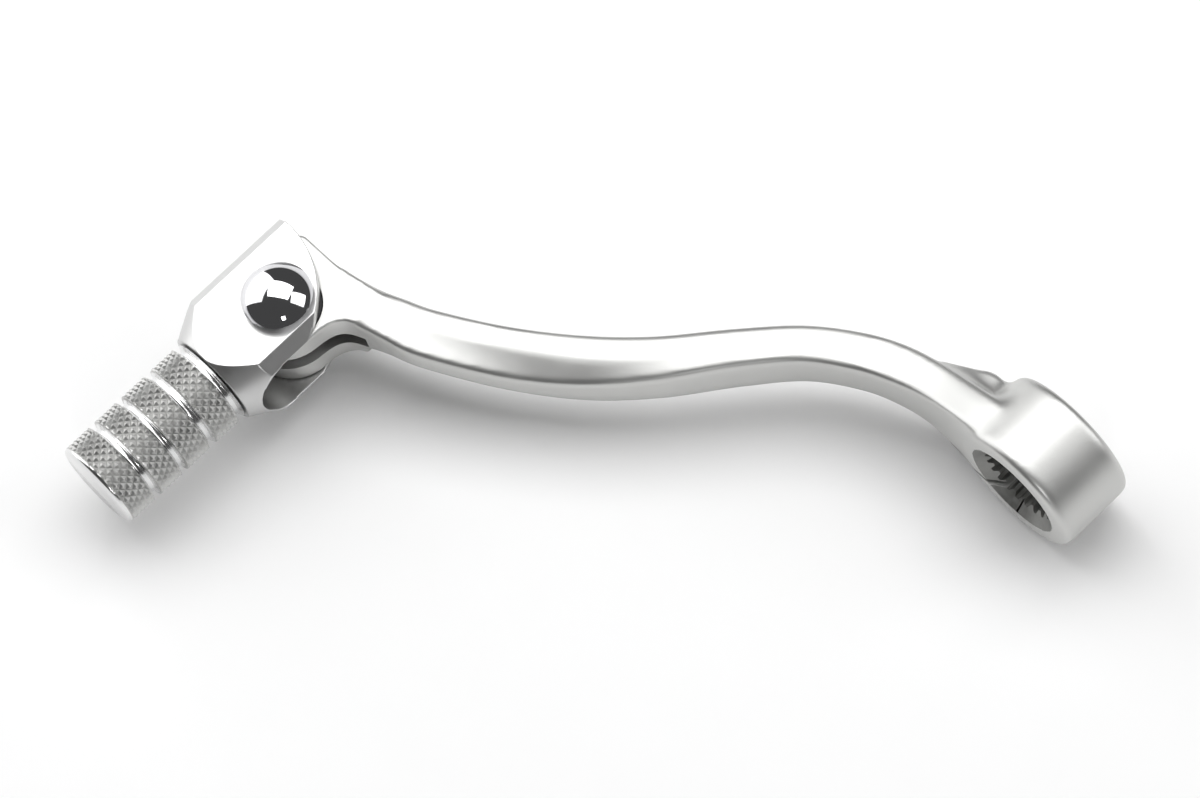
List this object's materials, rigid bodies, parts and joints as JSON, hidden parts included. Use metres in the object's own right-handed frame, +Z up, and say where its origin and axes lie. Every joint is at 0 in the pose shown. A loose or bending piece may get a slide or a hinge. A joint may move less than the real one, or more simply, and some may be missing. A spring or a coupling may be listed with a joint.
{
  "type": "gear shift lever",
  "caption": "Forged aluminium gear shift lever with a splined pinch-clamp hub, an S-curved arm and a spring-return folding tip carrying a knurled toe peg.",
  "frame": {"origin": "centre of the splined hub bore, half way along the hub", "axes": "+Y along the bore, away from the engine; +X forward, towards the folding tip; +Z up"},
  "size_m": [0.1257, 0.1081, 0.0256],
  "materials": {
    "forged_aluminium": "satin, bead blasted",
    "machined_aluminium": "satin, machined",
    "knurled_aluminium": "bright, knurled",
    "chrome": "polished",
    "plated_steel": "zinc plated",
    "spring_steel": "drawn wire",
    "bronze": "sintered, oiled",
    "seal_rubber": "matte"
  },
  "bodies": {
    "arm": {"lever_arm": "forged_aluminium", "pinch_bolt": "plated_steel", "pinch_bolt_washer": "plated_steel", "upper_pivot_bush": "bronze", "lower_pivot_bush": "bronze", "upper_dust_seal": "seal_rubber", "lower_dust_seal": "seal_rubber"},
    "tip": {"tip_knuckle": "machined_aluminium", "toe_peg": "knurled_aluminium", "peg_screw": "plated_steel", "peg_screw_washer": "plated_steel", "pivot_pin": "chrome", "pivot_screw": "plated_steel", "pivot_screw_washer": "plated_steel", "spring_sleeve": "plated_steel", "torsion_spring": "spring_steel"}
  },
  "joints": [
    {"name": "tip_fold", "type": "hinge", "parent": "arm", "child": "tip", "pos_m": [0.103, 0.0621, 0], "axis": [0, 0, 1], "range_deg": [0, 70], "stiffness_Nm_per_rad": 0.35, "springref_deg": -34.38, "deforming": ["torsion_spring"]}
  ]
}
